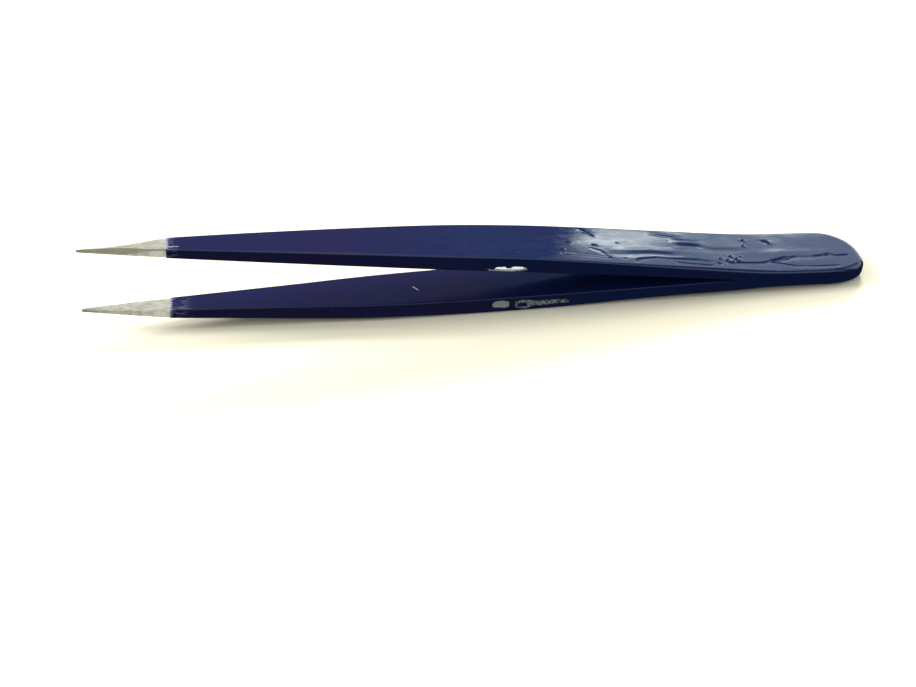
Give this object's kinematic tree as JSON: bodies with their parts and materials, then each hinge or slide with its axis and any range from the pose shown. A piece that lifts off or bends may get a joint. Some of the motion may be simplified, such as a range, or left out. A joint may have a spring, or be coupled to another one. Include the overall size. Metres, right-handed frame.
{
  "type": "precision tweezers",
  "caption": "Straight fine-point tweezers: ground steel arms spring-joined at a round heel, dipped in glossy coating that leaves the points bare.",
  "frame": {"origin": "centre of the box's base, straight below mid-length, level with the lowest point of the lower arm", "axes": "+X along the length from the points to the heel, +Y across the width, +Z the way the arms open, from the lower arm to the upper arm"},
  "size_m": [0.12, 0.0108, 0.0124],
  "materials": {
    "stainless_steel": "ground satin",
    "weld_metal": "dull cast",
    "navy_coating": "glossy dipped"
  },
  "bodies": {
    "heel": {"heel_coating": "navy_coating", "upper_heel_tang": "stainless_steel", "lower_heel_tang": "stainless_steel", "spot_welds": "weld_metal"},
    "upper_arm": {"upper_blade": "stainless_steel", "upper_arm_coating": "navy_coating"},
    "lower_arm": {"lower_blade": "stainless_steel", "lower_arm_coating": "navy_coating"}
  },
  "joints": [
    {"name": "upper_arm_flex", "type": "hinge", "parent": "heel", "child": "upper_arm", "pos_m": [0.036, 0, 0.00735], "axis": [0, -1, 0], "range_deg": [0, 3.08], "stiffness_Nm_per_rad": 1.3},
    {"name": "lower_arm_flex", "type": "hinge", "parent": "heel", "child": "lower_arm", "pos_m": [0.036, 0, 0.00505], "axis": [0, 1, 0], "range_deg": [0, 3.08], "stiffness_Nm_per_rad": 1.3}
  ],
  "couplings": [
    {"joint": "lower_arm_flex", "follows": "upper_arm_flex", "ratio": 1}
  ]
}
